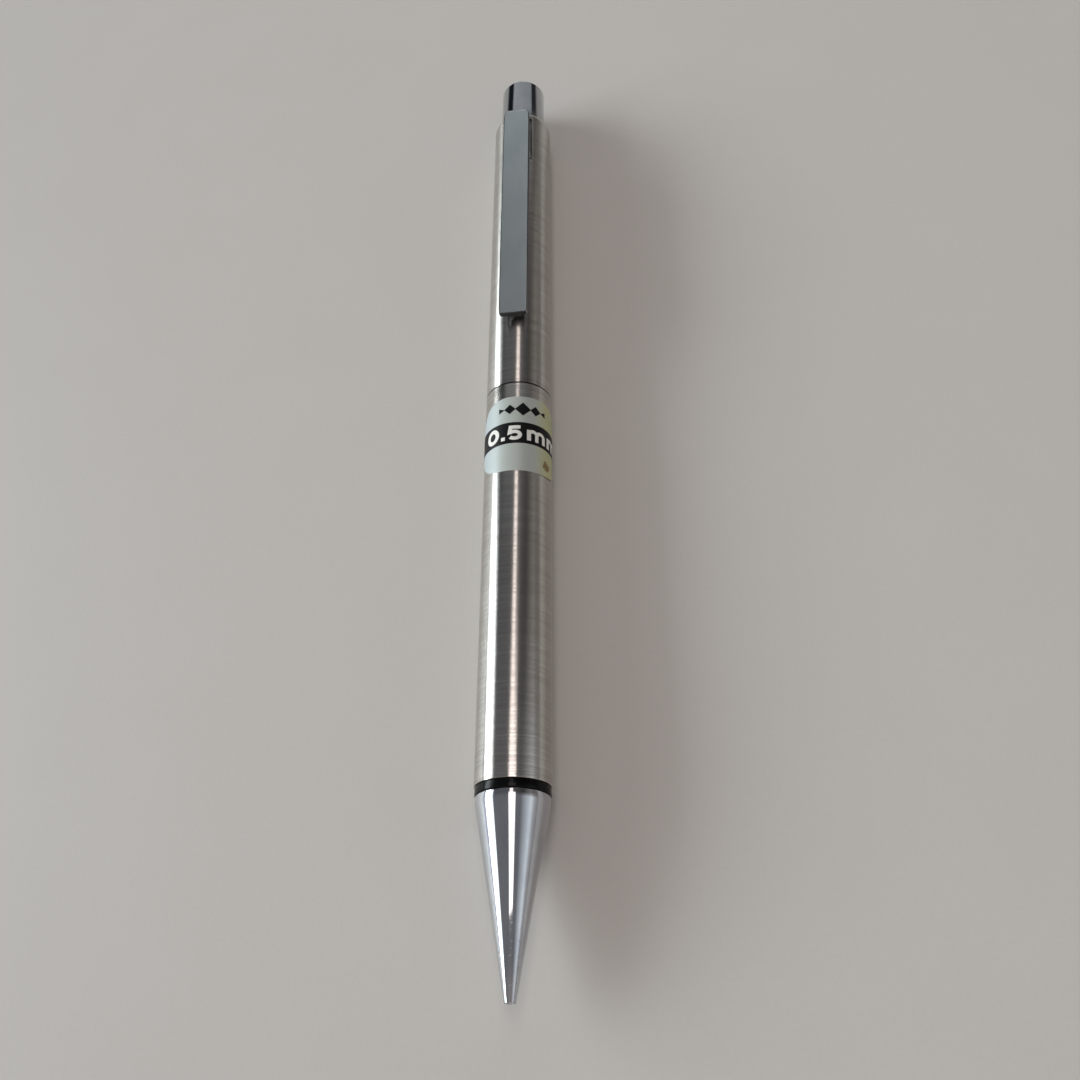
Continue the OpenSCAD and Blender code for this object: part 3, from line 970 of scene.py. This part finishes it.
def makeLabel(label):
    bm = bmesh.new()
    count = label["around"]
    layers = []
    for inside in (False, True):
        loops = []
        for i in range(label["rings"] + 1):
            reach = i / label["rings"]
            loop = []
            for k in range(count):
                sweep = 2 * math.pi * k / count
                u = math.sin(sweep)
                v = math.copysign(math.sqrt(max(0.0, 1 - u ** 4)), math.cos(sweep))
                turn = label["turn"] + label["halfAngle"] * u * reach
                distance = label["centre"] + label["height"] / 2 * v * reach
                radius = (filmInner if inside else filmOuter) + labelLift(turn, distance)
                if i == label["rings"] and not inside:
                    radius -= 0.02
                loop.append(bm.verts.new(placed(radius, distance, turn)))
                if i == 0:
                    break
            loops.append(loop)
        layers.append(loops)
        for first, second in zip(loops, loops[1:]):
            for k in range(count):
                bridge(bm, first, second, k, count)
    rimOuter, rimInner = layers[0][-1], layers[1][-1]
    for k in range(count):
        bridge(bm, rimOuter, rimInner, k, count)
    return finishMesh("label_film_sheet", bm, [film], "lower_barrel", ["barrel_label"])


def raisedPatch(bm, grid, raise_):
    # grid is rows of (turn, distance); makes a closed thin patch of ink on the film
    layers = []
    for height in (-0.012, raise_):
        layers.append([[
            bm.verts.new(placed(filmOuter + labelLift(turn, distance) + height, distance, turn))
            for turn, distance in row
        ] for row in grid])
    rows, columns = len(grid), len(grid[0])
    for layer in layers:
        for i in range(rows - 1):
            for j in range(columns - 1):
                bm.faces.new((layer[i][j], layer[i][j + 1], layer[i + 1][j + 1], layer[i + 1][j]))
    low, high = layers
    for i in range(rows - 1):
        for j in (0, columns - 1):
            bm.faces.new((low[i][j], low[i + 1][j], high[i + 1][j], high[i][j]))
    for j in range(columns - 1):
        for i in (0, rows - 1):
            bm.faces.new((low[i][j], low[i][j + 1], high[i][j + 1], high[i][j]))


def degreesFor(width):
    return math.degrees(width / filmOuter)


def evenly(points, closed):
    # adds points so that no step along a stroke is longer than 0.15 mm
    result = []
    ends = points[1:] + (points[:1] if closed else [])
    for start, end in zip(points, ends):
        steps = max(1, math.ceil((end - start).length / 0.15))
        result += [start.lerp(end, i / steps) for i in range(steps)]
    if not closed:
        result.append(points[-1])
    return result


def ribbon(bm, centreline, width, originTurn, originDistance, closed=False):
    # a stroke of ink along a line of (x, y) mm, with mitred corners
    points = evenly([Vector(p) for p in centreline], closed)
    count = len(points)
    left, right = [], []
    for i, point in enumerate(points):
        before = points[i - 1] if i or closed else None
        after = points[(i + 1) % count] if i < count - 1 or closed else None
        inDirection = (point - before).normalized() if before is not None else None
        outDirection = (after - point).normalized() if after is not None else None
        direction = ((inDirection or outDirection) + (outDirection or inDirection)).normalized()
        normal = Vector((-direction.y, direction.x))
        mitre = 1.0
        if inDirection and outDirection:
            mitre = 1 / max(0.5, direction.dot(inDirection))
        left.append(point + normal * width / 2 * mitre)
        right.append(point - normal * width / 2 * mitre)
    if closed:
        left.append(left[0])
        right.append(right[0])
    grid = []
    for a, b in zip(left, right):
        row = []
        for share in (0.0, 0.25, 0.5, 0.75, 1.0):
            p = a.lerp(b, share)
            row.append((originTurn + degreesFor(p.x), originDistance + p.y))
        grid.append(row)
    raisedPatch(bm, grid, label["printRaise"])


def arcLine(centreX, centreY, radiusX, radiusY, start, end, steps):
    return [(
        centreX + radiusX * math.cos(math.radians(start + (end - start) * i / steps)),
        centreY + radiusY * math.sin(math.radians(start + (end - start) * i / steps)),
    ) for i in range(steps + 1)]


def makeBand(label):
    bm = bmesh.new()
    grid = []
    turnSteps = 120
    for i in range(turnSteps + 1):
        u = -0.985 + 1.97 * i / turnSteps
        turn = label["turn"] + label["halfAngle"] * u
        grid.append([
            (turn, label["bandStart"] + (label["bandEnd"] - label["bandStart"]) * j / 4) for j in range(5)
        ])
    raisedPatch(bm, grid, 0.007)
    return finishMesh("label_black_band", bm, [blackInk], "lower_barrel")


def makeDigits(label):
    # lead size, which any pencil carries: a number and its unit
    bm = bmesh.new()
    h = label["digitHeight"]
    w = label["stroke"]
    base = label["digitBase"]
    turn = label["firstDigitTurn"]

    def place(x):
        return turn + degreesFor(x)

    zeroWidth = 2.1
    ring = arcLine(zeroWidth / 2, h / 2, zeroWidth / 2 - w / 2, h / 2 - w / 2.3, 0, 360, 40)[:-1]
    ribbon(bm, ring, w, place(0), base, closed=True)
    ribbon(bm, [(0.0, w / 2), (w, w / 2)], w, place(zeroWidth + 0.3), base)
    five = [(1.75, h - w / 2), (0.46, h - w / 2), (0.34, h * 0.5)]
    five += arcLine(0.98, h * 0.335, 0.72, h * 0.335 - w / 2 + 0.06, 128, -142, 20)
    ribbon(bm, five, w * 0.94, place(zeroWidth + 1.15), base)
    xHeight = h * 0.74
    for start in (zeroWidth + 3.75, zeroWidth + 6.95):
        ribbon(bm, [(w / 2, 0), (w / 2, xHeight)], w, place(start), base)
        for shift in (0.0, 1.12):
            arch = arcLine(w / 2 + 0.56 + shift, xHeight - 0.56 - w * 0.1, 0.56, 0.45, 150, 0, 12)
            ribbon(bm, arch + [(w / 2 + 1.12 + shift, 0.0)], w * 0.92, place(start), base)
    return finishMesh("label_white_digits", bm, [whiteInk], "lower_barrel")


def makeOrnament(label):
    # a plain printer's ornament: a lozenge between tapered bars
    bm = bmesh.new()
    base = label["ornamentBase"]
    h = label["ornamentHeight"]
    turn = label["ornamentTurn"]
    middle = base + h / 2

    def taper(x0, x1, y0, y1, h0, h1):
        grid = []
        for i in range(13):
            u = i / 12
            x = x0 + (x1 - x0) * u
            y = y0 + (y1 - y0) * u
            half = (h0 + (h1 - h0) * u) / 2
            across = turn + degreesFor(x)
            grid.append([(across, y - half), (across, y), (across, y + half)])
        raisedPatch(bm, grid, label["printRaise"])

    taper(-1.05, 0.0, middle, middle, 0.04, h)
    taper(0.0, 1.05, middle, middle, h, 0.04)
    for side in (-1, 1):
        taper(side * 1.0, side * 1.75, middle, middle, 0.04, h * 0.72)
        taper(side * 1.75, side * 2.5, middle, middle, h * 0.72, 0.04)
        taper(side * 2.5, side * 3.3, middle, middle, 0.04, h * 0.4)
    return finishMesh("label_black_ornament", bm, [blackInk], "lower_barrel")


# ---- return spring, made at rest; the real one closes up as the button is pressed

spring = {"meanRadius": 1.9, "wire": 0.17, "turns": 13, "stepsPerTurn": 40, "sides": 12, "travel": 3.0}


def makeSpring(spring):
    bm = bmesh.new()
    front = fromTip("return_spring", 0) + spring["wire"]
    back = fromTip("return_spring", 1) - spring["wire"]
    closeTurn = spring["wire"] * 2.1
    steps = spring["turns"] * spring["stepsPerTurn"]
    rows = []
    for i in range(steps + 1):
        t = i / spring["stepsPerTurn"]
        if t < 1:
            climb = front + closeTurn * t
        elif t > spring["turns"] - 1:
            climb = back - closeTurn * (spring["turns"] - t)
        else:
            climb = front + closeTurn + (back - front - 2 * closeTurn) * (t - 1) / (spring["turns"] - 2)
        rows.append([
            bm.verts.new(placed(
                spring["meanRadius"] + spring["wire"] * math.cos(2 * math.pi * j / spring["sides"]),
                climb + spring["wire"] * math.sin(2 * math.pi * j / spring["sides"]),
                360 * t,
            )) for j in range(spring["sides"])
        ])
    for first, second in zip(rows, rows[1:]):
        for j in range(spring["sides"]):
            following = (j + 1) % spring["sides"]
            bm.faces.new((first[j], first[following], second[following], second[j]))
    bm.faces.new(rows[0])
    bm.faces.new(rows[-1])
    piece = finishMesh(
        "return_spring_coil", bm, [wireSteel], "lower_barrel", ["return_spring"],
    )
    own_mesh(piece)
    return piece


makeNoseCone(cone)
makeRing(ringSettings)
makeLowerBarrel(barrel)
makeUpperBarrel(upper)
makeButton(button)
makeClip(clip)
print("outer pieces made")
makeLabel(label)
makeBand(label)
makeDigits(label)
makeOrnament(label)
print("label made")
makeSpring(spring)

# Inner pieces keep their CAD shape
innerFinishes = (
    (tubeSteel, ("lead_sleeve", "eraser_ferrule")),
    (rubber, ("lead_retainer",)),
    (graphite, ("writing_lead", "spare_leads")),
    (brass, (
        "chuck_stem", "chuck_jaw_1", "chuck_jaw_2", "chuck_jaw_3", "clutch_ring",
        "mechanism_housing", "front_bush", "joint_bush", "upper_insert", "clip_wedge",
    )),
    (acetal, ("chuck_coupling", "lead_reservoir", "button_bush")),
    (eraserVinyl, ("eraser",)),
    (wireSteel, ("cleaning_needle",)),
)
for material, names in innerFinishes:
    for name in names:
        piece = nodes[name]
        if not piece.material_slots:
            piece.data.materials.append(material)
        for slot in piece.material_slots:
            slot.material = material
print("inner pieces finished:", sum(len(names) for material, names in innerFinishes))

# ---- floor, camera and light

floorSettings = {"sizeM": 9.0, "pale": "#d2d0cc", "shade": "#cac7c2", "grainMm": 0.5}


def makeFloor(settings):
    # plain uncoated paper board: warm pale grey with a soft tooth
    material, tree, shader = newMaterial("plain_paper_board", {"IOR": 1.5, "Specular IOR Level": 0.6})
    tooth = grainNoise(tree, (settings["grainMm"],) * 3, 3.0, 0.6)
    cloud = grainNoise(tree, (14.0, 14.0, 14.0), 3.0, 0.5)
    blotch = remapped(tree, cloud, 0, 1, 0, 0.4)
    tone = addNode(
        tree, "Math", {"operation": "MULTIPLY_ADD", 1: 0.6}, {0: tooth, 2: blotch},
    ).outputs[0]
    tree.links.new(mixedColour(tree, tone, settings["pale"], settings["shade"]), shader.inputs["Base Color"])
    tree.links.new(remapped(tree, tooth, 0.3, 0.7, 0.5, 0.6), shader.inputs["Roughness"])
    tree.links.new(bumped(tree, tooth, 0.12, 0.05), shader.inputs["Normal"])
    bm = bmesh.new()
    bmesh.ops.create_grid(bm, x_segments=20, y_segments=20, size=settings["sizeM"] / 2)
    mesh = bpy.data.meshes.new("floor_board")
    bm.to_mesh(mesh)
    bm.free()
    mesh.materials.append(material)
    floor = bpy.data.objects.new("floor_board", mesh)
    floor.location.z = cadBounds[0][2] if cadBounds[0][2] < 0 else 0.0
    bpy.context.scene.collection.objects.link(floor)
    return floor


view = {
    "aimAcrossMm": 2.88,
    "aimFromTipMm": 53.86,
    "aimHeightMm": 3.97,
    "distanceMm": 132.48,
    "leanDeg": 29.92,      # from straight down, towards the tip
    "turnDeg": 8.5,        # round the pencil's axis, towards +X
    "rollDeg": 0.137,
    "lensMm": 35.0,
    "sensorMm": 36.0,
}


def makeCamera(view):
    data = bpy.data.cameras.new("camera")
    data.lens = view["lensMm"]
    data.sensor_width = view["sensorMm"]
    data.clip_start = 0.005
    data.clip_end = 20.0
    camera = bpy.data.objects.new("camera", data)
    turn = Matrix.Rotation(math.radians(view["turnDeg"]), 3, "Y")
    lean = Matrix.Rotation(math.radians(view["leanDeg"]), 3, "X")
    roll = Matrix.Rotation(math.radians(view["rollDeg"]), 3, "Z")
    rotation = turn @ lean @ roll
    aim = Vector((view["aimAcrossMm"] * mm, tipY + view["aimFromTipMm"] * mm, view["aimHeightMm"] * mm))
    camera.matrix_world = Matrix.Translation(
        aim + rotation @ Vector((0, 0, view["distanceMm"] * mm))
    ) @ rotation.to_4x4()
    bpy.context.scene.collection.objects.link(camera)
    bpy.context.scene.camera = camera
    return camera


# sizes in metres, radiance in W per sq m and sr; lean 0 shines down, 90 towards +X, -90 towards -X
lights = {
    # daylight from a low window on the left
    "windowLow": {
        "centre": (-1.6, 0.25, 0.58), "size": (1.7, 0.56), "lean": 90,
        "radiance": 9.5, "colour": "#f4feff",
    },
    # paler upper part of the window
    "windowHigh": {
        "centre": (-1.6, 0.25, 1.05), "size": (1.7, 0.38), "lean": 90,
        "radiance": 1.8, "colour": "#f4fcff",
    },
    # strip of light overhead, wider near the tip, ending before the button
    "ceilingNear": {
        "centre": (0.075, -0.05, 0.62), "size": (0.22, 0.34), "lean": 0,
        "radiance": 2.2, "colour": "#fff3ef",
    },
    "ceilingFar": {
        "centre": (0.05, 0.38, 0.62), "size": (0.11, 0.52), "lean": 0,
        "radiance": 1.5, "colour": "#fff3ee",
    },
}


def makeLight(name, settings):
    data = bpy.data.lights.new(name, "AREA")
    data.shape = "RECTANGLE"
    data.size, data.size_y = settings["size"]
    data.energy = settings["radiance"] * math.pi * data.size * data.size_y
    data.color = linear(settings["colour"])[:3]
    light = bpy.data.objects.new(name, data)
    light.location = settings["centre"]
    side = math.copysign(1, settings["lean"]) if settings["lean"] else 0
    light.rotation_euler = Euler((math.pi / 2 * abs(side), 0, -math.pi / 2 * side))
    bpy.context.scene.collection.objects.link(light)
    return light


# colours of the plain room, from the left horizon (0) over the top (0.5) to the right horizon (1)
room = {
    "overCone": [
        (0.0, "#dadcea"), (0.06, "#d2d5e4"), (0.13, "#7b7b7e"), (0.5, "#78787b"),
        (0.68, "#77787c"), (0.87, "#edf3f8"), (0.93, "#b5b5b6"), (1.0, "#94918f"),
    ],
    "overBarrel": [
        (0.0, "#c9cbd0"), (0.07, "#b9bcc2"), (0.14, "#606165"), (0.5, "#616164"),
        (0.73, "#3f3c39"), (0.86, "#837f7b"), (0.92, "#6f6b68"), (1.0, "#7d7875"),
    ],
    "overClip": [
        (0.0, "#b4b7ba"), (0.06, "#1a1b1d"), (0.2, "#1b1c1f"), (0.26, "#6e7173"),
        (0.55, "#6a6c6d"), (0.73, "#3b3835"), (0.86, "#7b7773"), (1.0, "#6f6b68"),
    ],
    "overButton": [
        (0.0, "#83888d"), (0.06, "#17191c"), (0.2, "#1b1d20"), (0.25, "#a0a3a5"),
        (0.78, "#94979a"), (0.84, "#232528"), (0.95, "#2b2c2f"), (1.0, "#8a8785"),
    ],
    "behind": "#bdaea6",
    # where one zone gives way to the next, along the pencil's direction (-1 to 1)
    "coneToBarrel": (0.05, 0.28),
    "barrelToClip": (0.62, 0.68),
    "clipToButton": (0.765, 0.785),
    "coneToBehind": (-0.3, -0.5),
    "brighterFrom": (0.6, 0.78),
    "brightest": 1.35,
}


def makeWorld(room):
    # plain studio surround whose tone changes round the pencil and along it
    world = bpy.data.worlds.new("studio")
    world.use_nodes = True
    tree = world.node_tree
    tree.nodes.clear()
    place = addNode(tree, "TexCoord")
    split = addNode(tree, "SeparateXYZ", None, {0: place.outputs["Generated"]})
    angle = addNode(
        tree, "Math", {"operation": "ARCTAN2"}, {0: split.outputs["X"], 1: split.outputs["Z"]},
    ).outputs[0]
    turn = remapped(tree, angle, -math.pi / 2, math.pi / 2, 0.0, 1.0)
    tones = [
        addNode(tree, "ValToRGB", {"stops": room[zone]}, {"Fac": turn}).outputs["Color"]
        for zone in ("overCone", "overBarrel", "overClip", "overButton")
    ]
    along = split.outputs["Y"]
    colour = tones[0]
    following = (
        ("coneToBarrel", tones[1]), ("barrelToClip", tones[2]), ("clipToButton", tones[3]),
        ("coneToBehind", room["behind"]),
    )
    for border, tone in following:
        colour = mixedColour(tree, remapped(tree, along, *room[border], 0.0, 1.0), colour, tone)
    strength = remapped(tree, along, *room["brighterFrom"], 1.0, room["brightest"])
    background = addNode(tree, "Background", None, {"Color": colour, "Strength": strength})
    addNode(tree, "OutputWorld", None, {"Surface": background.outputs[0]})
    bpy.context.scene.world = world


makeFloor(floorSettings)
makeCamera(view)
for lightName, settings in lights.items():
    makeLight(lightName, settings)
makeWorld(room)
bpy.context.scene.view_settings.view_transform = "Standard"
print("stage, camera and lights made")
